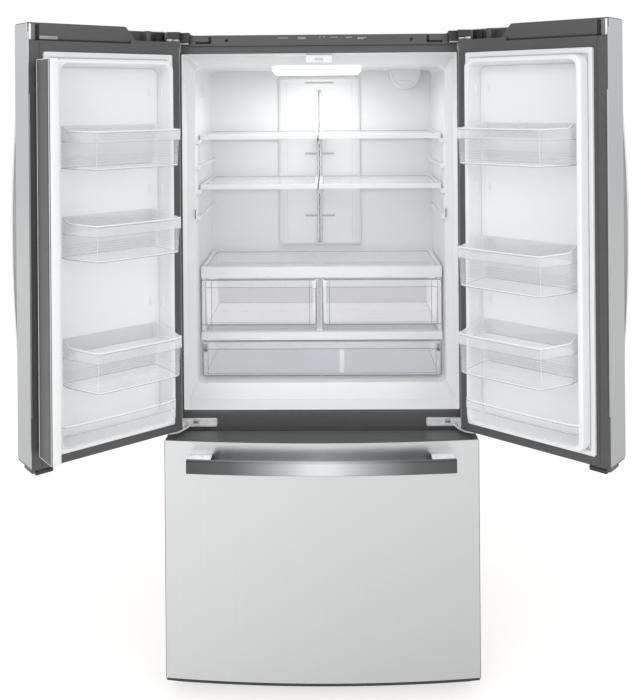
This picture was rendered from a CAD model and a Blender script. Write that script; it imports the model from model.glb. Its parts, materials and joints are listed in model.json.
import json
import math

import bmesh
import bpy
from mathutils import Matrix, Vector


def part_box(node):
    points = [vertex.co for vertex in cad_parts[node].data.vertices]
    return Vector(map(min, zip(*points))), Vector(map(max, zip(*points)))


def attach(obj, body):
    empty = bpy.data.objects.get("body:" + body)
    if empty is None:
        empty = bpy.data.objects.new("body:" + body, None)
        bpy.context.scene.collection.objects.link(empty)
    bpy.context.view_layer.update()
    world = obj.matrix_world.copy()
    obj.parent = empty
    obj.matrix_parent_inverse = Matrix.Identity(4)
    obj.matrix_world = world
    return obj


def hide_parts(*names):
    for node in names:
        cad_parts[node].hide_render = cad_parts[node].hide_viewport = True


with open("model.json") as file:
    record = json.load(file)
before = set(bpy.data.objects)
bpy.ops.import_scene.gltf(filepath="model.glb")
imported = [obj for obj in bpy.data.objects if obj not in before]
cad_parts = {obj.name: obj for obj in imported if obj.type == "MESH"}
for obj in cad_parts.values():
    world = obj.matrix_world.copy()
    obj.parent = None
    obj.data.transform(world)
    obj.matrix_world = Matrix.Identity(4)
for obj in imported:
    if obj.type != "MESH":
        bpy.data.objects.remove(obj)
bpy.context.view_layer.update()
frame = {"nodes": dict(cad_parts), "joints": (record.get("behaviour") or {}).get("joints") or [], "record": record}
nodes = frame["nodes"]
joints = {j["name"]: j for j in frame["joints"]}

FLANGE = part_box("front_frame")[0].y
STRIP_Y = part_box("control_strip")[0].y - 0.0003     # just in front of the touch strip
OPEN = -math.radians(joints["door_left_hinge"]["range_deg"][0])
PIVOT = Vector(joints["door_right_hinge"]["pos_m"])
MULLION = Vector(joints["mullion_fold"]["pos_m"])
SIDES = (("left", -1), ("right", 1))

# view: eye counted from the flange plane, in metres
LENS_MM = 45.51
SENSOR_MM = 36
SHIFT_Y = -0.3603
EYE = (0.0345, -2.427, 1.5805)
AIM_DEG = 0.73
ROLL_DEG = -0.44

# light: watts of the lamps, strength of the surroundings as lit and as seen
KEY_W, FILL_W, LAMP_W = 60, 36, 1.5
AMBIENT, BACKDROP = 0.84, 1.0

# places on the cabinet and the doors, in metres
WALL_X = 0.3558                     # inner face of the fresh food side walls
CREASE_X = 0.3562                   # moulded creases of those walls
DYKE_X = 0.3515                     # raised edge of the liner beside the opening
DUCT_SLOTS_Z = (1.630, 1.40, 1.20)
TRACK_Z = (1.115, 1.605)            # middle shelf track, low and high end
TRACK_X = (-0.0138, -0.0070, -0.0002)
TRACK_SLOTS = (15, 1.128, 0.0315)   # count, lowest, pitch
FILTER_Z = 1.656
FILTER_R = 0.051
STRIP_PLUG = (0.2525, 1.739)        # round plug beside the touch keys
TOUCH_KEYS = ((-0.112, -0.084, 1.7452), (-0.057, -0.035, 1.7462), (-0.057, -0.033, 1.7425),
              (0.033, 0.053, 1.7462), (0.075, 0.091, 1.7455), (0.107, 0.132, 1.7448),
              (0.107, 0.125, 1.7415))   # ends and height of each row of dashes
DASH = 0.0045                       # pitch of the dashes
CAP_LEDGE_Z = 1.724                 # step in a door's top cap
PAD_LEVELS = (1.60, 1.345, 1.05)    # bin pads on a door liner
WEB_B = (0.0304, 0.0335)            # front and back of the white web on a door
BIN_ENDS = (0.0575, 0.325)          # door bin, hinge end and free end along the door
BIN_DEPTH = 0.165
BIN_BAND = 0.026                    # height of the frosted band under the rim
HOOK_RISE = 0.013                   # how much the bin's ends rise over its rim
BEAD = 0.0012                       # radius of a moulded edge
HAIR = 0.0006                       # radius of a fine line


# ---------------------------------------------------------------- materials

def node(tree, kind, **values):
    made = tree.nodes.new(kind)
    for key, value in values.items():
        setattr(made, key, value)
    return made


def sum_of(tree, operation, *values):
    """One step of arithmetic; each value is a number or another node's output."""
    made = node(tree, "ShaderNodeMath", operation=operation)
    for socket, value in zip(made.inputs, values):
        if isinstance(value, float):
            socket.default_value = value
        else:
            tree.links.new(value, socket)
    return made.outputs[0]


def scaled_by(tree, colour, factor):
    scaled = node(tree, "ShaderNodeVectorMath", operation="SCALE")
    tree.links.new(colour, scaled.inputs[0])
    tree.links.new(factor, scaled.inputs["Scale"])
    return scaled.outputs["Vector"]


def place_on(tree):
    """Place on the object as x, y and z."""
    coord = node(tree, "ShaderNodeTexCoord")
    parts = node(tree, "ShaderNodeSeparateXYZ")
    tree.links.new(coord.outputs["Object"], parts.inputs[0])
    return parts.outputs


def grain(tree, scale, stretch, detail=4.0, rough=0.55):
    """Noise in the object's own space, stretched along its axes."""
    coord = node(tree, "ShaderNodeTexCoord")
    mapping = node(tree, "ShaderNodeMapping")
    mapping.inputs["Scale"].default_value = stretch
    noise = node(tree, "ShaderNodeTexNoise")
    noise.inputs["Scale"].default_value = scale
    noise.inputs["Detail"].default_value = detail
    noise.inputs["Roughness"].default_value = rough
    tree.links.new(coord.outputs["Object"], mapping.inputs["Vector"])
    tree.links.new(mapping.outputs["Vector"], noise.inputs["Vector"])
    return noise.outputs["Fac"]


def spread(tree, source, low, high, start=0.25, end=0.75, kind="LINEAR"):
    """Takes the span from start to end of a value to the span from low to high."""
    ramp = node(tree, "ShaderNodeMapRange", interpolation_type=kind)
    ramp.inputs["From Min"].default_value = start
    ramp.inputs["From Max"].default_value = end
    ramp.inputs["To Min"].default_value = low
    ramp.inputs["To Max"].default_value = high
    tree.links.new(source, ramp.inputs["Value"])
    return ramp.outputs["Result"]


def shade(tree, source, colour, amount):
    """Colour that varies round its mean with the noise."""
    ramp = node(tree, "ShaderNodeValToRGB")
    ramp.color_ramp.elements[0].position = 0.3
    ramp.color_ramp.elements[1].position = 0.7
    ramp.color_ramp.elements[0].color = (*(c * (1 - amount) for c in colour), 1)
    ramp.color_ramp.elements[1].color = (*(min(1.0, c * (1 + amount)) for c in colour), 1)
    tree.links.new(source, ramp.inputs["Fac"])
    return ramp.outputs["Color"]


def slope_of(tree, colour, slope):
    """Multiplies a colour by a slow change along x and z of the row frame."""
    place = place_on(tree)
    by_x = sum_of(tree, "MULTIPLY_ADD", place["X"], slope[0], 1.0)
    return scaled_by(tree, colour, sum_of(tree, "MULTIPLY_ADD", place["Z"], slope[1], by_x))


def band_of(tree, colour, band):
    """Darkens a soft band above a handle: (low z, high z, half width, depth)."""
    low, high, half, depth = band
    blur = 0.006
    middle_part, end_part = 0.45, 0.55      # how the depth grows from the middle to the ends
    place = place_on(tree)
    away = sum_of(tree, "ABSOLUTE", place["X"])
    amount = sum_of(tree, "MULTIPLY_ADD", away, end_part * depth / half, middle_part * depth)
    for other in (spread(tree, place["Z"], 1.0, 0.0, low, high, "SMOOTHSTEP"),
                  spread(tree, away, 1.0, 0.0, half, half + blur, "SMOOTHSTEP"),
                  sum_of(tree, "GREATER_THAN", place["Z"], low - blur)):
        amount = sum_of(tree, "MULTIPLY", amount, other)
    return scaled_by(tree, colour, sum_of(tree, "SUBTRACT", 1.0, amount))


def bow_of(tree, stops):
    """Grey that depends on the distance from the middle of the object: stops of (metres, grey)."""
    reach = stops[-1][0]
    away = sum_of(tree, "ABSOLUTE", place_on(tree)["X"])
    ramp = node(tree, "ShaderNodeValToRGB")
    while len(ramp.color_ramp.elements) < len(stops):
        ramp.color_ramp.elements.new(0.5)
    for element, (place, grey) in zip(ramp.color_ramp.elements, stops):
        element.position = place / reach
        element.color = (grey, grey, grey, 1)
    tree.links.new(sum_of(tree, "DIVIDE", away, reach), ramp.inputs["Fac"])
    return ramp.outputs["Color"]


def finish_of(name, colour, rough, metallic=0.0, scale=60, stretch=(1, 1, 1), vary=0.03,
              rough_vary=0.05, bump=0.05, bump_mm=0.1, fine=None, alpha=None, edge_alpha=None,
              glow=0.0, coat=0.0, specular=0.5, slope=None, bow=None, band=None):
    """One finish: mottled colour, uneven gloss and a fine relief, clear where alpha is given.

    scale and stretch set the broad mottling, fine the grain of the relief, as one number or as
    (scale, stretch). slope, bow and band change the colour slowly over the object.
    """
    made = bpy.data.materials.new(name)
    made.use_nodes = True
    tree = made.node_tree
    shader = tree.nodes["Principled BSDF"]
    shader.inputs["Metallic"].default_value = metallic
    shader.inputs["Coat Weight"].default_value = coat
    shader.inputs["Specular IOR Level"].default_value = specular
    broad = grain(tree, scale, stretch)
    base = shade(tree, broad, colour, vary)
    if slope:
        base = slope_of(tree, base, slope)
    if band:
        base = band_of(tree, base, band)
    if bow:
        mixed = node(tree, "ShaderNodeVectorMath", operation="MULTIPLY")
        tree.links.new(base, mixed.inputs[0])
        tree.links.new(bow_of(tree, bow), mixed.inputs[1])
        base = mixed.outputs["Vector"]
    tree.links.new(base, shader.inputs["Base Color"])
    tree.links.new(spread(tree, broad, rough - rough_vary, rough + rough_vary),
                   shader.inputs["Roughness"])
    relief = node(tree, "ShaderNodeBump")
    relief.inputs["Strength"].default_value = bump
    relief.inputs["Distance"].default_value = bump_mm / 1000
    if isinstance(fine, int):
        fine = (fine, (1, 1, 1))
    fine_scale, fine_stretch = fine or (scale * 8, stretch)
    tree.links.new(grain(tree, fine_scale, fine_stretch), relief.inputs["Height"])
    tree.links.new(relief.outputs["Normal"], shader.inputs["Normal"])
    if alpha is not None:
        if edge_alpha is None:
            shader.inputs["Alpha"].default_value = alpha
        else:
            facing = node(tree, "ShaderNodeLayerWeight")
            facing.inputs["Blend"].default_value = 0.35
            facing_out = spread(tree, facing.outputs["Facing"], alpha, edge_alpha, 0.1, 0.95)
            tree.links.new(facing_out, shader.inputs["Alpha"])
    if glow:
        shader.inputs["Emission Color"].default_value = (1.0, 0.985, 0.96, 1)
        shader.inputs["Emission Strength"].default_value = glow
    return made


BRUSHED = dict(metallic=1.0, scale=4, stretch=(50, 50, 0.5), vary=0.012, rough_vary=0.03,
               bump_mm=0.05, fine=(60, (60, 60, 0.3)))
THIN = dict(scale=30, bump=0.05, specular=0.9)
M = {"stainless": finish_of("brushed_stainless", (0.282, 0.288, 0.293), 0.36, slope=(-0.16, 0.66),
                            **BRUSHED),
     "dark_steel": finish_of("handle_steel", (0.895, 0.92, 0.945), 0.32, 1.0, 3, (0.6, 60, 60),
                             0.02, 0.03, bump_mm=0.05, fine=(30, (0.25, 40, 40)),
                             bow=((0, 0.78), (0.035, 0.74), (0.085, 0.54), (0.135, 0.36),
                                  (0.19, 0.22), (0.24, 0.13), (0.351, 0.095))),
     "dark_plastic": finish_of("dark_grey_frame", (0.067, 0.0675, 0.069), 0.46, 0.0, 12, (1, 1, 4),
                               0.06, bump=0.25, bump_mm=0.05, fine=900),
     "black_plastic": finish_of("black_plastic", (0.020, 0.020, 0.022), 0.45, 0.0, 30, bump=0.3,
                                fine=900),
     "grey_paint": finish_of("case_paint", (0.30, 0.302, 0.305), 0.42, 0.25, 25, vary=0.03,
                             bump=0.5, bump_mm=0.15, fine=450),
     "white_plastic": finish_of("white_liner", (0.695, 0.705, 0.72), 0.34, 0.0, 6, vary=0.012,
                                bump=0.06, bump_mm=0.2, fine=90, coat=0.1, glow=0.055),
     "clear_plastic": finish_of("clear_bin", (0.80, 0.81, 0.84), 0.12, 0.0, 14, vary=0.03,
                                bump=0.05, fine=60, alpha=0.045, edge_alpha=0.42, specular=0.8,
                                glow=0.12),
     "glass": finish_of("shelf_glass", (0.72, 0.77, 0.77), 0.05, 0.0, 8, vary=0.02, rough_vary=0.02,
                        bump=0.02, alpha=0.12, edge_alpha=0.5, specular=0.9, glow=0.08),
     "galvanised": finish_of("zinc_plate", (0.46, 0.47, 0.48), 0.42, 1.0, 45, vary=0.16,
                             rough_vary=0.10, bump=0.2, fine=120),
     "gasket": finish_of("soft_seal", (0.69, 0.70, 0.71), 0.55, 0.0, 20, vary=0.02, bump=0.15,
                         fine=300),
     "mullion_face": finish_of("mullion_grey", (0.095, 0.096, 0.098), 0.40, 0.2, 10, (1, 1, 3),
                               0.04, bump=0.2, bump_mm=0.05, fine=700),
     "lamp": finish_of("lamp_diffuser", (0.90, 0.91, 0.92), 0.3, 0.0, 30, vary=0.01, bump=0.1,
                       glow=0.9)}
FROST = finish_of("frosted_band", (0.84, 0.85, 0.88), 0.45, 0.0, 40, vary=0.02, bump=0.2, fine=500,
                  alpha=0.22, edge_alpha=0.50, glow=0.14)
SOFT_EDGE = finish_of("soft_edge", (0.86, 0.87, 0.90), 0.2, 0.0, 30, vary=0.03, bump=0.05,
                      alpha=0.45, specular=0.8)
EDGE = finish_of("clear_edge", (0.50, 0.51, 0.56), 0.15, vary=0.08, alpha=0.50, **THIN)
RIM = finish_of("bright_rim", (0.90, 0.91, 0.93), 0.15, vary=0.02, alpha=0.9, **THIN)
GLASS_EDGE = finish_of("glass_edge", (0.40, 0.53, 0.50), 0.1, vary=0.08, alpha=0.6, **THIN)
SMOKE = finish_of("drawer_clear", (0.68, 0.69, 0.75), 0.14, 0.0, 10, vary=0.05, bump=0.04, fine=50,
                  alpha=0.09, edge_alpha=0.45, specular=0.8, glow=0.48)
WIDE_CLEAR = finish_of("wide_drawer_clear", (0.56, 0.575, 0.66), 0.14, 0.0, 10, vary=0.05,
                       bump=0.04, fine=50, alpha=0.12, edge_alpha=0.50, specular=0.8, glow=0.30)
TRAY_EDGE = finish_of("drawer_edge", (0.27, 0.28, 0.34), 0.15, vary=0.08, alpha=0.62, **THIN)
DRAWER_STEEL = finish_of("drawer_stainless", (0.525, 0.540, 0.548), 0.36, slope=(-0.24, 0.28),
                         band=(0.620, 0.652, 0.302, 0.62), **BRUSHED)
HANDLE = finish_of("door_handle_steel", (0.80, 0.80, 0.805), 0.38, 0.75, 3, (60, 60, 0.6), 0.02,
                   0.03, bump_mm=0.05, fine=(40, (60, 60, 0.3)))
CAP_DARK = finish_of("drawer_cap_grey", (0.096, 0.0965, 0.098), 0.42, 0.0, 12, vary=0.05, bump=0.25,
                     fine=900)
LAMP_WHITE = finish_of("bright_white", (0.74, 0.745, 0.76), 0.35, 0.0, 20, vary=0.01, bump=0.05,
                       glow=0.06)
FOLD = finish_of("folded_edge", (0.19, 0.195, 0.20), 0.35, 0.5, 40, vary=0.08, bump=0.1)
ZINC = finish_of("bright_zinc", (0.84, 0.85, 0.86), 0.35, 0.4, 60, vary=0.10, rough_vary=0.08,
                 bump=0.2)
GLINT = finish_of("bright_fold", (0.95, 0.95, 0.95), 0.3, 0.3, 30, vary=0.02, bump=0.05)
SHADOW = finish_of("recess_black", (0.006, 0.006, 0.007), 0.6, 0.0, 30, bump=0.2)
DARK_LINE = finish_of("dark_seam", (0.05, 0.05, 0.052), 0.5, 0.0, 30, bump=0.2)
LIGHT_LINE = finish_of("light_trim", (0.70, 0.71, 0.72), 0.35, 0.0, 30, bump=0.1)
TRACK = finish_of("track_metal", (0.55, 0.56, 0.58), 0.28, 0.85, 20, (20, 20, 1), vary=0.06,
                  bump=0.1)
GREY_MARK = finish_of("soft_grey_mark", (0.52, 0.53, 0.55), 0.5, 0.0, 60, vary=0.05, bump=0.1)
STRIP_GREY = finish_of("wear_strip", (0.26, 0.262, 0.265), 0.4, 0.0, 60, vary=0.05, bump=0.1)
ICON = finish_of("touch_mark", (0.55, 0.56, 0.57), 0.4, 0.0, 80, vary=0.05, bump=0.05)

OWN = {"door_left_handle": HANDLE, "door_right_handle": HANDLE, "freezer_skin": DRAWER_STEEL,
       "freezer_cap": CAP_DARK, "lower_hinge_left": ZINC, "lower_hinge_right": ZINC}
for entry in frame["record"]["subparts"]:
    target = nodes[entry["node"]]
    target.data.materials.clear()
    target.data.materials.append(OWN.get(entry["node"], M[entry["material_slot"]]))

WHITE, SEAL, CLEAR = M["white_plastic"], M["gasket"], M["clear_plastic"]
DARK, BLACK, ZINC_PLATE = M["dark_plastic"], M["black_plastic"], M["galvanised"]


# ---------------------------------------------------------------- making pieces

def keep(obj, material, body):
    """Puts a piece in the scene, on its body."""
    bpy.context.scene.collection.objects.link(obj)
    obj.data.materials.append(material)
    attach(obj, body)
    return obj


def from_bmesh(name, bm, place=None, smooth=35):
    if place is not None:
        bm.transform(place)
        if place.determinant() < 0:
            bmesh.ops.reverse_faces(bm, faces=bm.faces[:])
    mesh = bpy.data.meshes.new(name)
    bm.to_mesh(mesh)
    bm.free()
    for polygon in mesh.polygons:
        polygon.use_smooth = True
    mesh.set_sharp_from_angle(angle=math.radians(smooth))
    return bpy.data.objects.new(name, mesh)


def plate(name, low, high, material, body="cabinet", place=None, round_by=0.0006):
    """Small block with rounded edges."""
    bm = bmesh.new()
    bmesh.ops.create_cube(bm, size=1.0)
    size = [h - l for l, h in zip(low, high)]
    middle = [(h + l) / 2 for l, h in zip(low, high)]
    bmesh.ops.transform(bm, matrix=Matrix.Translation(middle) @ Matrix.Diagonal((*size, 1)),
                        verts=bm.verts[:])
    width = min(round_by, min(size) * 0.4)
    bmesh.ops.bevel(bm, geom=bm.edges[:], offset=width, segments=2, profile=0.5, affect="EDGES")
    return keep(from_bmesh(name, bm, place), material, body)


def tube(name, points, radius, material, body="cabinet", place=None, closed=False):
    """Round bead along a line of points."""
    curve = bpy.data.curves.new(name, "CURVE")
    curve.dimensions = "3D"
    curve.bevel_depth = radius
    curve.bevel_resolution = 2
    curve.use_fill_caps = True
    spline = curve.splines.new("POLY")
    spline.points.add(len(points) - 1)
    for point, place_at in zip(spline.points, points):
        at = place @ Vector(place_at) if place is not None else Vector(place_at)
        point.co = (*at, 1)
    spline.use_cyclic_u = closed
    return keep(bpy.data.objects.new(name, curve), material, body)


def kit(name, body, place=None):
    """Plate and tube makers for one assembly: its name, its body and its axes are settled."""
    def put(tag, low, high, material, round_by):
        return plate(f"{name}_{tag}", low, high, material, body, place, round_by)

    def bead(tag, points, radius, material, closed=False):
        return tube(f"{name}_{tag}", points, radius, material, body, place, closed)

    return put, bead


def loft(bm, loops, ring=False):
    """Skin over loops of equal length: a solid with end faces, or a closed ring."""
    rows = [[bm.verts.new(p) for p in loop] for loop in loops]
    pairs = list(zip(rows, rows[1:]))
    if ring:
        pairs.append((rows[-1], rows[0]))
    for one, two in pairs:
        for i in range(len(one)):
            j = (i + 1) % len(one)
            bm.faces.new((one[i], one[j], two[j], two[i]))
    if not ring:
        bm.faces.new(rows[0][::-1])
        bm.faces.new(rows[-1])
    bmesh.ops.recalc_face_normals(bm, faces=bm.faces[:])


def rounded(x0, x1, z0, z1, radius, steps=5):
    """Rectangle with round corners."""
    points = []
    corners = ((x1 - radius, z0 + radius, -90), (x1 - radius, z1 - radius, 0),
               (x0 + radius, z1 - radius, 90), (x0 + radius, z0 + radius, 180))
    for cx, cz, start in corners:
        for i in range(steps + 1):
            angle = math.radians(start + 90 * i / steps)
            points.append((cx + radius * math.cos(angle), cz + radius * math.sin(angle)))
    return points


def soften(points, radius, steps=4):
    """Open or closed outline with its corners rounded."""
    out = []
    count = len(points)
    for i, point in enumerate(points):
        before = Vector(points[i - 1])
        here = Vector(point)
        after = Vector(points[(i + 1) % count])
        one = before - here
        two = after - here
        reach = min(radius, one.length * 0.45, two.length * 0.45)
        start = here + one.normalized() * reach
        end = here + two.normalized() * reach
        for k in range(steps + 1):
            t = k / steps
            out.append(tuple(start * (1 - t) ** 2 + here * 2 * t * (1 - t) + end * t ** 2))
    return out


def flat(outline, z, out=0.0):
    """Outline in plan, lifted to one height."""
    return [(x, y + out, z) for x, y in outline]


def upright(outline, y):
    """Outline in elevation, set at one depth."""
    return [(x, y, z) for x, z in outline]


def circle(x, y, radius, count=12, turn=0.524):
    return [(x + radius * math.cos(k * turn),
             y + radius * math.sin(k * turn)) for k in range(count)]


def door_place(side):
    """From a door's own axes to the row frame.

    In a door's axes a runs along the door, b towards the cabinet when shut, and z up.
    """
    turn = Matrix.Rotation(side * OPEN, 4, "Z")
    mirror = Matrix.Diagonal((-side, 1, 1, 1))
    return Matrix.Translation((side * PIVOT.x, PIVOT.y, 0)) @ turn @ mirror


def local_box(name, place):
    """Lowest and highest corner of a node in the axes that place maps to the row frame."""
    back = place.inverted()
    points = [back @ v.co for v in nodes[name].data.vertices]
    return Vector(map(min, *points)), Vector(map(max, *points))


# ---------------------------------------------------------------- doors

def bin_outline(grow=0.0):
    """Plan of a door bin in the door's axes, ends rounded, face cut back near the free edge."""
    start, end = BIN_ENDS[0] - grow, BIN_ENDS[1] + grow
    corners = [(start, 0.024), (start, BIN_DEPTH - 0.007 + grow), (0.100, BIN_DEPTH + grow),
               (0.286 + grow * 0.6, BIN_DEPTH + grow), (end, 0.070 + grow * 0.4), (end, 0.024)]
    return soften(corners, 0.012)


def bin_rim(outline, z1, out=0.0, drop=0.0):
    """Line at rim height: the ends rise where they hook over the liner."""
    line = []
    for a, b in outline:
        rise = max(0.0, min(1.0, (0.088 - b) / 0.035))
        line.append((a, b + out, z1 + HOOK_RISE * rise * rise * (3 - 2 * rise) - drop))
    return line


def door_bin(name, body, place):
    """Clear bin: thin shell, frosted band, bright rim, ribs and the hooks over the liner."""
    low, high = local_box(name, place)
    z0, z1 = low.z, high.z
    put, bead = kit(name, body, place)
    bm = bmesh.new()
    loft(bm, [flat(bin_outline(-0.008), z0), flat(bin_outline(-0.004), z0 + 0.003),
              bin_rim(bin_outline(0.0), z1), bin_rim(bin_outline(-0.0028), z1),
              flat(bin_outline(-0.0065), z0 + 0.004)])
    shell = keep(from_bmesh(f"{name}_shell", bm, place), CLEAR, body)
    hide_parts(name)
    band_low = z1 - BIN_BAND
    bm = bmesh.new()
    rim_out = bin_outline(0.0014)
    rim_in = bin_outline(0.0002)
    loft(bm, [flat(rim_out, band_low), bin_rim(rim_out, z1, drop=0.001),
              bin_rim(rim_in, z1, drop=0.001), flat(rim_in, band_low)], ring=True)
    keep(from_bmesh(f"{name}_band", bm, place), FROST, body)
    front = bin_outline(0.0)[5:-5]
    bead("rim", bin_rim(front, z1), 0.0014, RIM)
    bead("rim_shade", bin_rim(front, z1, 0.0012, 0.0035), 0.0007, EDGE)
    bead("line", flat(bin_outline(0.0012), band_low), HAIR, EDGE, True)
    bead("foot", flat(bin_outline(-0.0055), z0 + 0.002), BEAD, EDGE, True)
    bead("foot_glint", flat(bin_outline(-0.0050)[5:-5], z0 + 0.0048, 0.0008), 0.0009, RIM)
    bead("crease", [(0.2865, 0.1602, z0 + 0.004), (0.2865, 0.1652, z1 - 0.002)], 0.0010, SOFT_EDGE)
    for i in range(4):
        ring = flat(bin_outline(-0.0036 + 0.0003 * i), z0 + 0.010 + 0.006 * i)
        bead(f"rib_{i}", ring, 0.0004, FROST, True)
    for end, a in (("hinge", 0.0560), ("free", 0.3265)):
        hook = (a - 0.0012, 0.030, z1 - 0.030), (a + 0.0012, 0.052, z1 + 0.006)
        put(f"hook_{end}", *hook, FROST, 0.001)


def bottom_dam(name, body, place):
    """Clear rail along the foot of a door, with its rim, its lines and an end clip each side."""
    low, high = local_box(name, place)
    put, bead = kit(name, body, place)
    path = soften([(low.x, low.y - 0.010), (low.x, 0.094), (low.x + 0.020, 0.100), (0.200, high.y),
                   (high.x - 0.022, 0.100), (high.x, 0.090), (high.x, low.y - 0.010)], 0.008)[5:-5]
    path = [(low.x, low.y)] + [p for p in path if p[1] > low.y] + [(high.x, low.y)]
    bm = bmesh.new()
    loops = []
    wall = 0.0025
    for a, b in path:
        if b > 0.092:                       # front, its inner face lies behind it
            inner = (a, b - wall)
        else:                               # ends, their inner faces lie beside them
            inner = (a + (wall if a < 0.1 else -wall), b)
        loops.append([(a, b, low.z), (a, b, high.z), (*inner, high.z), (*inner, low.z)])
    loft(bm, loops)
    shell = keep(from_bmesh(f"{name}_rail", bm, place), CLEAR, body)
    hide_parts(name)
    bead("rim", flat(path, high.z), 0.0014, RIM)
    bead("rim_shade", flat(path, high.z - 0.0035, 0.0008), 0.0007, EDGE)
    bead("foot", flat(path, low.z + 0.001), BEAD, SOFT_EDGE)
    bead("line", flat(path, high.z - 0.022, 0.0006), HAIR, EDGE)
    for i, (a, b) in enumerate((path[0], path[-1])):
        put(f"clip_{i}", (a - 0.0015, b + 0.001, high.z - 0.024),
            (a + 0.0015, b + 0.012, high.z + 0.004), FROST, 0.0012)


def door_panel(name, body, place):
    """Seal pleats, the moulded panel with its pads and dimples, and the web between the two."""
    put, bead = kit(name, body, place)
    liner_low, liner_high = local_box(f"{name}_liner", place)
    gasket_low, gasket_high = local_box(f"{name}_gasket", place)
    for i, inset in enumerate((0.0035, 0.0068)):
        ring = rounded(gasket_low.x + inset, gasket_high.x - inset, gasket_low.z + inset,
                       gasket_high.z - inset, 0.004)
        bead(f"seal_fold_{i}", upright(ring, gasket_high.y - 0.0012), 0.0009, SEAL, True)
    ring = rounded(0.052, 0.330, liner_low.z + 0.022, liner_high.z - 0.022, 0.016)
    bead("panel_edge", upright(ring, 0.0225), BEAD, WHITE, True)
    for i, z in enumerate(PAD_LEVELS):
        put(f"pad_{i}", (0.0455, 0.040, z - 0.014), (0.0510, 0.046, z + 0.014), WHITE, 0.002)
        put(f"dimple_{i}", (0.0735, 0.0212, z - 0.011), (0.0785, 0.0238, z + 0.011), SEAL, 0.002)
    bm = bmesh.new()
    web_out = rounded(gasket_low.x + 0.004, gasket_high.x - 0.004, gasket_low.z + 0.003,
                      gasket_high.z - 0.004, 0.004)
    web_in = rounded(liner_low.x + 0.004, 0.348, liner_low.z + 0.004, liner_high.z - 0.004, 0.020)
    front, back = WEB_B
    loft(bm, [upright(web_out, front), upright(web_out, back), upright(web_in, back),
              upright(web_in, front)], ring=True)
    keep(from_bmesh(f"{name}_seal_web", bm, place), SEAL, body)


def door_cap(name, side, body, place):
    """Top cap: seam, wear strip, pillar, slope, pocket and the bright fold of the sheet."""
    put = kit(name, body, place)[0]
    top = local_box(f"{name}_skin", place)[1].z
    head = local_box(f"{name}_frame", place)[1].z
    ledge = CAP_LEDGE_Z
    put("cap_seam", (0.1060, 0.0225, ledge - 0.0005), (0.369, 0.0262, ledge + 0.0046), SHADOW,
        0.0005)
    if side < 0:
        put("cap_strip", (0.324, 0.0225, ledge + 0.0040), (0.370, 0.0272, ledge + 0.0125),
            STRIP_GREY, 0.0010)
    put("cap_pillar", (0.058, -0.020, ledge - 0.004), (0.071, 0.004, top - 0.004), DARK, 0.0015)
    bm = bmesh.new()
    slope = [(0.148, head + 0.0350), (0.1395, head + 0.0350), (0.1060, ledge + 0.0030),
             (0.126, ledge + 0.0030)]
    slope = [(a, min(z, top + 0.0018)) for a, z in slope]
    loft(bm, [upright(slope, -0.006), upright(slope, 0.0222)])
    keep(from_bmesh(f"{name}_cap_slope", bm, place), DARK, body)
    put("cap_pocket", (0.008, -0.0165, ledge + 0.004), (0.036, -0.0120, ledge + 0.036), SHADOW,
        0.0010)
    put("cap_gap", (0.3692, 0.0180, ledge - 0.001), (0.3755, 0.0222, head - 0.003), SHADOW, 0.0005)
    bm = bmesh.new()
    fold = [(0.3755, 0.0180), (0.3780, 0.0208), (0.3830, 0.0224), (0.3983, 0.0228),
            (0.3983, 0.0180)]
    loft(bm, [flat(fold, ledge + 0.001), flat(fold, head - 0.003)])
    keep(from_bmesh(f"{name}_fold_shade", bm, place), FOLD, body)
    put("fold_glint", (0.3895, 0.0215, ledge + 0.002), (0.3945, 0.0232, head - 0.0035), GLINT,
        0.0006)
    put("fold_seam", (0.3692, 0.0240, ledge - 0.0015), (0.3982, 0.0284, ledge + 0.0012), SHADOW,
        0.0005)


def door_edge(name, body, place):
    """Shadow lines beside the seal and the steel edge, guide under the free edge, corner lip."""
    put, bead = kit(name, body, place)
    frame_low = local_box(f"{name}_frame", place)[0]
    ledge = CAP_LEDGE_Z
    put("crease_seal", (0.3705, 0.0298, frame_low.z + 0.020), (0.3740, 0.0304, ledge - 0.004),
        DARK_LINE, 0.0002)
    put("crease_edge", (0.3915, 0.0298, 0.83), (0.3945, 0.0304, 1.585), DARK_LINE, 0.0002)
    put("guide", (0.3435, -0.0015, 0.6772), (0.3875, 0.0285, 0.6905), BLACK, 0.0025)
    bead("guide_lip", [(0.345, 0.0285, 0.6850), (0.386, 0.0285, 0.6850)], 0.0026, BLACK)
    lip = [(frame_low.x + 0.0012, 0.0296, z) for z in (0.70, 1.0, 1.4, 1.716)]
    bead("frame_lip", lip, BEAD, STRIP_GREY)


def door(word, side):
    name, body, place = f"door_{word}", f"{word}_door", door_place(side)
    for level in ("upper", "middle", "lower"):
        door_bin(f"{name}_bin_{level}", body, place)
    bottom_dam(f"{name}_bottom_dam", body, place)
    door_panel(name, body, place)
    door_cap(name, side, body, place)
    door_edge(name, body, place)


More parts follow.
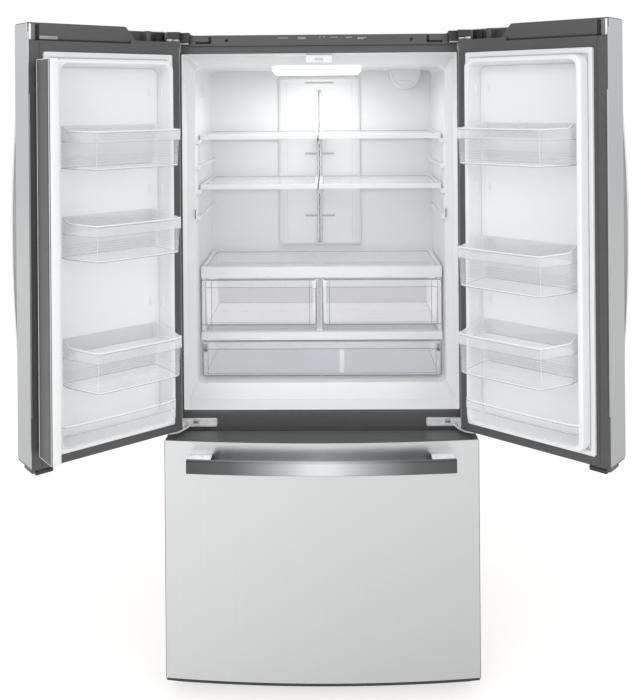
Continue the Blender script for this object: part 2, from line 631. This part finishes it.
def mullion_shell():
    """White back and ends of the flip mullion, leaving a light outline round its grey face."""
    place = Matrix.Translation((MULLION.x, MULLION.y, 0)) @ Matrix.Rotation(-OPEN, 4, "Z")
    low, high = local_box("mullion_flipper", place)
    put, bead = kit("mullion", "mullion", place)
    put("back", (low.x - 0.0012, low.y + 0.004, low.z + 0.0005),
        (low.x + 0.0004, high.y + 0.0002, high.z), WHITE, 0.0005)
    put("side", (low.x - 0.0010, high.y - 0.0004, low.z + 0.0005),
        (high.x - 0.0022, high.y + 0.0012, high.z), WHITE, 0.0005)
    for tag, z0, z1 in (("top", high.z - 0.0004, high.z + 0.0010),
                        ("foot", low.z - 0.0010, low.z + 0.0004)):
        put(tag, (low.x - 0.0006, low.y + 0.003, z0), (high.x - 0.0018, high.y + 0.0008, z1),
            WHITE, 0.0005)
    x = high.x + 0.0002
    outline = [(x, low.y + 0.0045, low.z + 0.0008), (x, high.y - 0.0012, low.z + 0.0008),
               (x, high.y - 0.0012, high.z - 0.0008), (x, low.y + 0.0045, high.z - 0.0008)]
    bead("outline", outline, 0.0009, LIGHT_LINE, True)
    for i, y in enumerate((low.y + 0.010, high.y - 0.010)):
        bead(f"line_{i}", [(x - 0.0001, y, low.z + 0.004), (x - 0.0001, y, high.z - 0.004)], 0.0004,
             DARK_LINE)


# ---------------------------------------------------------------- cabinet interior

def at(x, y, z):
    """A place counted from the flange plane."""
    return (x, FLANGE + y, z)


def cab_plate(name, low, high, material, round_by):
    return plate(name, at(*low), at(*high), material, round_by=round_by)


def cab_tube(name, points, radius, material, closed=False):
    return tube(name, [at(*p) for p in points], radius, material, closed=closed)


def shelves():
    """Glass edges, side brackets and the bright centre track of the two shelf levels."""
    for level in ("upper", "middle"):
        for word in ("left", "right"):
            low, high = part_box(f"shelf_trim_{level}_{word}")
            glass_low, glass_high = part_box(f"shelf_glass_{level}_{word}")
            top = glass_high.z
            ring = [(glass_low.x + 0.002, glass_low.y + 0.002, top),
                    (glass_high.x - 0.002, glass_low.y + 0.002, top),
                    (glass_high.x - 0.002, glass_high.y - 0.002, top),
                    (glass_low.x + 0.002, glass_high.y - 0.002, top)]
            tube(f"shelf_glass_line_{level}_{word}", ring, 0.0009, GLASS_EDGE, closed=True)
            front = [(low.x + 0.001, low.y + 0.0008, high.z - 0.0040),
                     (high.x - 0.001, low.y + 0.0008, high.z - 0.0040)]
            tube(f"shelf_lip_{level}_{word}", front, 0.0011, WHITE)
            outer = low.x if word == "left" else high.x - 0.006
            plate(f"shelf_foot_{level}_{word}", (outer, low.y + 0.004, low.z - 0.009),
                  (outer + 0.006, low.y + 0.060, low.z), WHITE, round_by=0.0018)
            inner = high.x - 0.004 if word == "left" else low.x
            plate(f"shelf_arm_{level}_{word}", (inner, low.y + 0.020, low.z - 0.016),
                  (inner + 0.004, high.y - 0.002, low.z), TRACK, round_by=0.0008)
    low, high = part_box("air_duct_panel")
    for i, (x, finish) in enumerate(zip(TRACK_X, (TRACK, DARK_LINE, TRACK))):
        plate(f"shelf_track_{i}", (x - 0.0012, low.y - 0.0020 + 0.001 * (i % 2), TRACK_Z[0]),
              (x + 0.0012, low.y + 0.002, TRACK_Z[1]), finish, round_by=0.0005)
    count, lowest, pitch = TRACK_SLOTS
    for i in range(count):
        z = lowest + pitch * i
        plate(f"shelf_track_slot_{i}", (-0.0105, low.y - 0.0012, z),
              (-0.0035, low.y + 0.0012, z + 0.010), GREY_MARK, round_by=0.0008)


def duct():
    """Vertical steps and slots of the panel on the back wall."""
    duct_low, duct_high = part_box("air_duct_panel")
    face = duct_low.y + 0.0075
    for i, x in enumerate((duct_low.x + 0.014, duct_high.x - 0.014, duct_low.x + 0.026,
                           duct_high.x - 0.026)):
        tube(f"duct_crease_{i}", [(x, face, duct_low.z + 0.020), (x, face, duct_high.z - 0.020)],
             0.0009, SEAL)
    for i, z in enumerate(DUCT_SLOTS_Z):
        plate(f"duct_slot_{i}", (-0.053, duct_low.y + 0.0095, z - 0.0028),
              (0.041, duct_low.y + 0.0120, z + 0.0028), GREY_MARK, round_by=0.0005)


def lamp():
    """Frame and flutes of the ceiling light."""
    low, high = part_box("ceiling_light_cover")
    ring = rounded(low.x + 0.001, high.x - 0.001, low.y + 0.001, high.y - 0.001, 0.014)
    tube("lamp_frame", flat(ring, high.z - 0.006), 0.0022, WHITE, closed=True)
    for i in range(12):
        x = low.x + 0.022 + (high.x - low.x - 0.044) * i / 11
        tube(f"lamp_flute_{i}",
             [(x, low.y + 0.016, low.z - 0.0002), (x, high.y - 0.016, low.z - 0.0002)], 0.0006,
             M["lamp"])


def filter_housing():
    """Rings and grip of the water filter's housing."""
    low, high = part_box("water_filter_housing")
    middle = (low.x + high.x) / 2
    for i, scale in enumerate((0.97, 0.80)):
        arc = []
        for k in range(17):
            angle = math.pi + math.pi * k / 16
            arc.append((middle + FILTER_R * scale * math.cos(angle),
                        low.y + (0.007 if i == 0 else -0.0003),
                        FILTER_Z + FILTER_R * scale * math.sin(angle)))
        tube(f"filter_ring_{i}", arc, 0.0011, SEAL)
    plate("filter_grip", (middle - 0.018, low.y - 0.0035, FILTER_Z - 0.030),
          (middle + 0.018, low.y + 0.001, FILTER_Z - 0.022), WHITE, round_by=0.0015)


def side_walls():
    """Blank data plate with plain rules, and the slots and creases of the side walls."""
    wall = -WALL_X
    cab_plate("wall_plate", (wall - 0.0002, 0.180, 1.580), (wall + 0.0009, 0.272, 1.625),
              LIGHT_LINE, 0.0003)
    for i in range(5):
        z = 1.587 + 0.007 * i
        cab_plate(f"wall_plate_rule_{i}", (wall + 0.0004, 0.188, z),
                  (wall + 0.0011, 0.262 - 0.012 * (i % 2), z + 0.0012), GREY_MARK, 0.0002)
    for word, side in SIDES:
        x = side * DYKE_X
        cab_plate(f"dyke_slot_{word}", (min(x, x + side * 0.002), 0.062, 1.242),
                  (max(x, x + side * 0.002), 0.066, 1.267), DARK_LINE, 0.0006)
        x = side * CREASE_X
        cab_tube(f"wall_crease_{word}_0", [(x, 0.094, 0.80), (x, 0.094, 1.66)], 0.0010, SEAL)
        cab_tube(f"wall_crease_back_{word}_0", [(x, 0.125, 1.11), (x, 0.125, 1.65)], 0.0008, SEAL)


def ceiling():
    """Screw buttons on the ceiling and the face of the mullion's guide block."""
    for i, (x, y) in enumerate(((-0.300, 0.125), (0.300, 0.125), (-0.19, 0.20), (0.18, 0.20))):
        ring = flat(circle(x, y, 0.009, 20, math.pi / 10), 1.6676)
        cab_tube(f"ceiling_button_{i}", ring, 0.0008, SEAL, True)
    cab_plate("guide_slot", (-0.012, 0.0112, 1.6835), (0.012, 0.0126, 1.6905), GREY_MARK, 0.0008)
    for i, x in enumerate((-0.0365, 0.0365)):
        cab_tube(f"guide_edge_{i}", [(x, 0.013, 1.6800), (x, 0.013, 1.6980)], HAIR, GREY_MARK)


def tray(name, node_name, material, body, column, reach=(0.0, 0.0)):
    """Clear drawer: thin walled box with a deeper front, rim beads and side columns."""
    low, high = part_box(node_name)
    put, bead = kit(name, body)
    bm = bmesh.new()
    draft = 0.005
    shape = []
    for grow, z in ((-draft - 0.001, low.z), (-draft, low.z + 0.004), (0.0, high.z),
                    (-0.003, high.z), (-draft - 0.003, low.z + 0.004)):
        ring = rounded(low.x - grow, high.x + grow, low.y - grow, high.y + grow, 0.012)
        shape.append(flat(ring, z))
    loft(bm, shape)
    shell = keep(from_bmesh(f"{name}_shell", bm), material, body)
    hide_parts(node_name)
    y = low.y - 0.0042
    # front panel with its light upper band
    bm = bmesh.new()
    outer = rounded(low.x + 0.001 - reach[0], high.x - 0.001 + reach[1], low.z + 0.002,
                    high.z - 0.001, 0.006)
    loft(bm, [upright(outer, y), upright(outer, y + 0.003)])
    keep(from_bmesh(f"{name}_front", bm), material, body)
    band = high.z - 0.022
    put("band", (low.x + 0.003 - reach[0], y - 0.0016, band),
        (high.x - 0.003 + reach[1], y + 0.001, high.z - 0.001), FROST, 0.0008)
    bead("outline", upright(outer, y - 0.0004), BEAD, TRAY_EDGE, True)
    bead("band_line", [(low.x + 0.003, y - 0.0014, band), (high.x - 0.003, y - 0.0014, band)],
         0.0007, TRAY_EDGE)
    for i, x in enumerate((low.x + 0.002, low.x + column, high.x - column, high.x - 0.002)):
        bead(f"column_{i}", [(x, y - 0.0006, low.z + 0.004), (x, y - 0.0006, high.z - 0.002)],
             0.0008, TRAY_EDGE)
    for i, inset in enumerate((0.002, 0.0045)):
        rim = rounded(low.x + inset, high.x - inset, low.y + inset, high.y - inset, 0.010)
        bead(f"rim_{i}", flat(rim, high.z + 0.0002 - 0.004 * i), 0.0011, TRAY_EDGE, True)
    bead("foot_shade",
         [(low.x + 0.014, y + 0.002, low.z + 0.0012), (high.x - 0.014, y + 0.002, low.z + 0.0012)],
         0.0014, DARK_LINE)
    floor = rounded(low.x + 0.009, high.x - 0.009, low.y + 0.009, high.y - 0.009, 0.010)
    bead("floor_line", flat(floor, low.z + 0.0045), 0.0010, TRAY_EDGE, True)


def drawers():
    tray("crisper_left_tray", "crisper_left", SMOKE, "left_crisper", 0.020, (0.0105, 0.0))
    tray("crisper_right_tray", "crisper_right", SMOKE, "right_crisper", 0.020, (0.0, 0.0105))
    for word, body, x0, x1 in (("left", "left_crisper", -0.0255, -0.0170),
                               ("right", "right_crisper", 0.0050, 0.0135)):
        low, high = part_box(f"crisper_{word}")
        plate(f"crisper_{word}_flange", (x0, low.y - 0.0065, low.z + 0.006),
              (x1, low.y - 0.0048, high.z - 0.026), FROST, body, round_by=0.0006)
        plate(f"crisper_{word}_tab", (x0 - 0.001, low.y - 0.0070, high.z - 0.024),
              (x1 + 0.001, low.y - 0.0048, high.z - 0.002), WHITE, body, round_by=0.0008)
    tray("wide_drawer_tray", "wide_drawer", WIDE_CLEAR, "wide_drawer", 0.016)
    low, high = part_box("wide_drawer")
    for i, x in enumerate((low.x + 0.004, high.x - 0.013)):
        plate(f"wide_drawer_stop_{i}", (x, low.y - 0.004, high.z - 0.030),
              (x + 0.009, low.y + 0.004, high.z - 0.008), DARK_LINE, "wide_drawer", round_by=0.001)
        plate(f"wide_drawer_clip_{i}", (x + 0.001, low.y - 0.0035, low.z + 0.028),
              (x + 0.008, low.y + 0.003, low.z + 0.046), LIGHT_LINE, "wide_drawer", round_by=0.001)
    plate("wide_drawer_divider_head", (0.0515, low.y + 0.0045, low.z + 0.006),
          (0.0645, low.y + 0.0095, high.z - 0.003), LAMP_WHITE, "wide_drawer", round_by=0.0012)


def covers():
    """Humidity slides, front lips and glass lines of the drawer covers, and the centre post."""
    low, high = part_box("crisper_cover_frame")
    for tag, x in (("left", -0.17), ("right", 0.18)):
        plate(f"humidity_slide_{tag}", (x - 0.026, low.y - 0.0022, high.z - 0.0300),
              (x + 0.002, low.y + 0.002, high.z - 0.0262), WHITE, round_by=0.0012)
        for i in range(3):
            plate(f"humidity_dot_{tag}_{i}",
                  (x + 0.007 + 0.007 * i, low.y - 0.0005, high.z - 0.0290),
                  (x + 0.011 + 0.007 * i, low.y + 0.001, high.z - 0.0266), GREY_MARK,
                  round_by=0.0003)
    for node_name in ("crisper_cover_frame", "drawer_cover_frame"):
        low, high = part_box(node_name)
        tube(f"{node_name}_lip",
             [(low.x + 0.002, low.y + 0.0004, high.z - 0.0012),
              (high.x - 0.002, low.y + 0.0004, high.z - 0.0012)], 0.0013, WHITE)
        inner = [(low.x + 0.013, low.y + 0.021, high.z - 0.001),
                 (high.x - 0.013, low.y + 0.021, high.z - 0.001),
                 (high.x - 0.013, high.y - 0.013, high.z - 0.001),
                 (low.x + 0.013, high.y - 0.013, high.z - 0.001)]
        tube(f"{node_name}_glass_line", inner, 0.0010, GLASS_EDGE, closed=True)
    for i, x in enumerate((-0.0135, 0.0015)):
        cab_plate(f"centre_post_edge_{i}", (x - 0.001, 0.1615, 0.905), (x + 0.001, 0.1640, 1.055),
                  EDGE, 0.0004)
    cab_plate("centre_post_slot", (-0.0100, 0.1612, 0.905), (-0.0020, 0.1632, 1.055), GREY_MARK,
              0.0008)


# ---------------------------------------------------------------- outside details

def touch_strip():
    """Touch controls: short blank dashes on the strip above the opening."""
    for i, (x0, x1, z) in enumerate(TOUCH_KEYS):
        dashes = max(2, round((x1 - x0) / DASH))
        for k in range(dashes):
            a = x0 + (x1 - x0) * k / dashes
            plate(f"touch_dash_{i}_{k}", (a, STRIP_Y, z - 0.0008),
                  (a + 0.0030, STRIP_Y + 0.0006, z + 0.0008), ICON, round_by=0.0002)
    for i, x in enumerate((0.0030, 0.0140)):
        plate(f"touch_divide_{i}", (x, STRIP_Y, 1.7435),
              (x + 0.0007, STRIP_Y + 0.0006, 1.7505), ICON, round_by=0.0002)


def front_hinges():
    """Strip ends, lower hinge leaves and top hinge beads of both sides."""
    for word, side in SIDES:
        ring = upright(circle(side * STRIP_PLUG[0], STRIP_PLUG[1], 0.0036), STRIP_Y)
        tube(f"strip_plug_{word}", ring, 0.0008, SHADOW, closed=True)
        x0, x1 = sorted((side * 0.293, side * 0.340))
        plate(f"strip_slot_{word}", (x0, STRIP_Y + 0.0045, 1.7285),
              (x1, STRIP_Y + 0.0056, 1.7370), SHADOW, round_by=0.0003)
        x0, x1 = sorted((side * 0.293, side * 0.3035))
        plate(f"strip_slot_end_{word}", (x0, STRIP_Y + 0.0045, 1.7340),
              (x1, STRIP_Y + 0.0056, 1.7510), SHADOW, round_by=0.0003)
        # lower hinge: outline, step, edge of the arm and pressed waves of the leaf
        corners = (0.350, 0.683), (0.2885, 0.683), (0.2885, 0.7015), (0.350, 0.7015)
        outline = [(side * x, -0.0042, z) for x, z in corners]
        cab_tube(f"lower_hinge_rib_{word}", outline, 0.0010, GREY_MARK)
        x0, x1 = sorted((side * 0.352, side * 0.337))
        cab_plate(f"lower_hinge_step_{word}", (x0, -0.0052, 0.690), (x1, -0.0036, 0.7020),
                  ZINC_PLATE, 0.0012)
        cab_tube(f"lower_hinge_edge_{word}",
                 [(side * 0.4175, -0.060, 0.6845), (side * 0.402, -0.0625, 0.6845),
                  (side * 0.383, -0.052, 0.6845), (side * 0.370, -0.030, 0.6845),
                  (side * 0.3625, -0.006, 0.6845)], 0.0028, ZINC)
        for k in range(7):
            x = side * (0.2935 + 0.0088 * k)
            cab_tube(f"lower_hinge_wave_{word}_{k}",
                     [(x - 0.003, -0.0043, 0.6990 - 0.001 * (k % 2)), (x, -0.0043, 0.6958),
                      (x + 0.003, -0.0043, 0.6990 - 0.001 * (k % 2))], 0.0009, GREY_MARK)
        cab_tube(f"lower_hinge_brim_{word}",
                 [(side * 0.290, -0.0043, 0.7020), (side * 0.346, -0.0043, 0.7020)], 0.0010, ZINC)
        x0, x1 = sorted((side * 0.4046, side * 0.4145))
        cab_plate(f"hinge_cover_wing_{word}", (x0, -0.050, 1.7368), (x1, -0.046, 1.7602), DARK,
                  0.0008)
        cab_tube(f"top_hinge_bead_{word}",
                 [(side * 0.4085, -0.0455, 1.7390), (side * 0.378, -0.0455, 1.7390)], 0.0018, GLINT)
        cab_tube(f"top_hinge_lip_{word}",
                 [(side * 0.378, -0.0108, 1.7312), (side * 0.357, -0.0108, 1.7312)], BEAD, GLINT)
    # line between the upper strip and the rail under it
    cab_tube("strip_seam", [(-0.351, -0.0008, 1.7238), (0.351, -0.0008, 1.7238)], 0.0008, DARK_LINE)
    cab_tube("rail_glint", [(-0.377, 0.0011, 0.7195), (0.377, 0.0011, 0.7195)], BEAD, STRIP_GREY)


def screw(name, place):
    """Low round head on the back of the case."""
    bm = bmesh.new()
    steps = (0.0042, 0.0), (0.0040, 0.0008), (0.0026, 0.0014)   # radius and height off the panel
    loft(bm, [upright(circle(0, 0, radius, 16, math.pi / 8), height) for radius, height in steps])
    return keep(from_bmesh(name, bm, Matrix.Translation(place)), ZINC_PLATE, "cabinet")


def back_panel():
    """Screws round the panel, its beads and the slots of the machine space."""
    low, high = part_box("rear_panel")
    for i in range(7):
        z = low.z + 0.05 + (high.z - low.z - 0.1) * i / 6
        for word, side in SIDES:
            screw(f"rear_screw_{i}_{word[0]}", (side * 0.402, high.y + 0.0004, z))
    for i, z in enumerate((0.62, 1.12)):
        tube(f"rear_bead_{i}", [(-0.38, high.y, z), (0.38, high.y, z)], 0.0022, ZINC_PLATE)
    for i in range(10):
        x = -0.27 + 0.06 * i
        tube(f"rear_louvre_{i}", [(x, high.y + 0.0002, 0.305), (x, high.y + 0.0002, 0.365)], 0.0022,
             ZINC_PLATE)


def case_edges():
    """Folded front edges of the case and the plugs of the hinge covers."""
    low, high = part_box("cabinet_wrapper")
    for word, side in SIDES:
        x = side * (high.x - 0.0006)
        tube(f"case_hem_{word}",
             [(x, low.y + 0.0006, low.z + 0.002), (x, low.y + 0.0006, high.z - 0.001)], 0.0011,
             M["grey_paint"])
        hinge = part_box(f"hinge_cover_{word}")
        plug = circle((hinge[0].x + hinge[1].x) / 2, hinge[1].y - 0.018, 0.005)
        tube(f"hinge_cover_plug_{word}", flat(plug, hinge[1].z - 0.0003), 0.0008, DARK_LINE,
             closed=True)


def freezer_front():
    """Side edges of the drawer's skin, handle post caps, the dark lip and the cap's seam."""
    low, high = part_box("freezer_skin")
    front = {}
    for v in nodes["freezer_skin"].data.vertices:
        if v.co.z < low.z + 0.003:
            key = round(v.co.x, 3)
            front[key] = min(front.get(key, 9.0), v.co.y)
    xs = sorted(front)
    for (word, side), x in zip(SIDES, (xs[0], xs[-1])):
        for tag, y in (("front", front[x] + 0.0012), ("back", high.y - 0.001)):
            tube(f"freezer_edge_{tag}_{word}",
                 [(x + side * 0.0004, y, low.z + 0.001), (x + side * 0.0004, y, high.z - 0.001)],
                 0.0012, DARK_LINE, "freezer_drawer")
    lip = [(x * 0.998, front[x] + 0.0075, low.z - 0.0055) for x in xs if front[x] < high.y - 0.010]
    bar_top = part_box("freezer_handle")[1].z
    for word, side in SIDES:
        x0, x1 = sorted((side * 0.2885, side * 0.3475))
        near = [xx for xx in xs if x0 <= xx <= x1] or [xs[0] if side < 0 else xs[-1]]
        back = max(front[xx] for xx in near)
        plate(f"freezer_post_cap_{word}", (x0, back - 0.040, bar_top - 0.0030),
              (x1, back - 0.0002, bar_top - 0.0012), ZINC, "freezer_drawer", round_by=0.0006)
    tube("freezer_lip", lip, 0.0060, BLACK, "freezer_drawer")
    low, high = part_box("freezer_cap")
    tube("freezer_cap_seam",
         [(low.x + 0.004, high.y - 0.0018, high.z - 0.0006),
          (high.x - 0.004, high.y - 0.0018, high.z - 0.0006)], 0.0015, SHADOW, "freezer_drawer")


for word, side in SIDES:
    door(word, side)
mullion_shell()
shelves()
duct()
lamp()
filter_housing()
side_walls()
ceiling()
drawers()
covers()
touch_strip()
front_hinges()
back_panel()
case_edges()
freezer_front()


# ---------------------------------------------------------------- stage, light and camera

def stage():
    bm = bmesh.new()
    bmesh.ops.create_grid(bm, x_segments=4, y_segments=4, size=9.0)
    floor = from_bmesh("studio_floor", bm)
    bpy.context.scene.collection.objects.link(floor)
    floor.data.materials.append(finish_of("studio_white", (0.42, 0.42, 0.42), 0.6, scale=3,
                                          vary=0.005, bump=0.02, glow=0.66))


def area(name, place, target, size, power, colour=(1, 1, 1)):
    light = bpy.data.lights.new(name, "AREA")
    light.shape = "RECTANGLE"
    light.size, light.size_y = size
    light.energy = power
    light.color = colour
    obj = bpy.data.objects.new(name, light)
    obj.location = place
    obj.rotation_euler = (Vector(target) - Vector(place)).to_track_quat("-Z", "Y").to_euler()
    bpy.context.scene.collection.objects.link(obj)


def lights():
    area("key", (-1.9, -4.2, 3.4), (0, 0, 1.0), (2.6, 2.2), KEY_W)
    area("fill", (2.4, -3.8, 2.2), (0, 0, 0.9), (2.2, 2.2), FILL_W)
    area("lamp_glow", at(-0.008, 0.150, 1.640), at(-0.008, 0.20, 0.9), (0.20, 0.06), LAMP_W,
         (1, 0.985, 0.96))
    world = bpy.data.worlds.new("studio")
    bpy.context.scene.world = world
    world.use_nodes = True
    tree = world.node_tree
    back = tree.nodes["Background"]
    back.inputs["Color"].default_value = (1, 1, 1, 1)
    back.inputs["Strength"].default_value = AMBIENT
    seen = node(tree, "ShaderNodeBackground")
    seen.inputs["Color"].default_value = (1, 1, 1, 1)
    seen.inputs["Strength"].default_value = BACKDROP
    path = node(tree, "ShaderNodeLightPath")
    mix = node(tree, "ShaderNodeMixShader")
    tree.links.new(path.outputs["Is Camera Ray"], mix.inputs["Fac"])
    tree.links.new(back.outputs["Background"], mix.inputs[1])
    tree.links.new(seen.outputs["Background"], mix.inputs[2])
    tree.links.new(mix.outputs["Shader"], tree.nodes["World Output"].inputs["Surface"])


def camera():
    made = bpy.data.cameras.new("photo_angle")
    made.lens = LENS_MM
    made.sensor_width = SENSOR_MM
    made.shift_y = SHIFT_Y
    obj = bpy.data.objects.new("photo_angle", made)
    obj.location = at(*EYE)
    aim = Matrix.Rotation(math.radians(AIM_DEG), 4, "Z")
    level = Matrix.Rotation(math.radians(90), 4, "X")
    turn = aim @ level @ Matrix.Rotation(math.radians(ROLL_DEG), 4, "Z")
    obj.rotation_euler = turn.to_euler()
    bpy.context.scene.collection.objects.link(obj)
    bpy.context.scene.camera = obj


stage()
lights()
camera()
bpy.context.scene.view_settings.view_transform = "Standard"

bpy.context.view_layer.update()
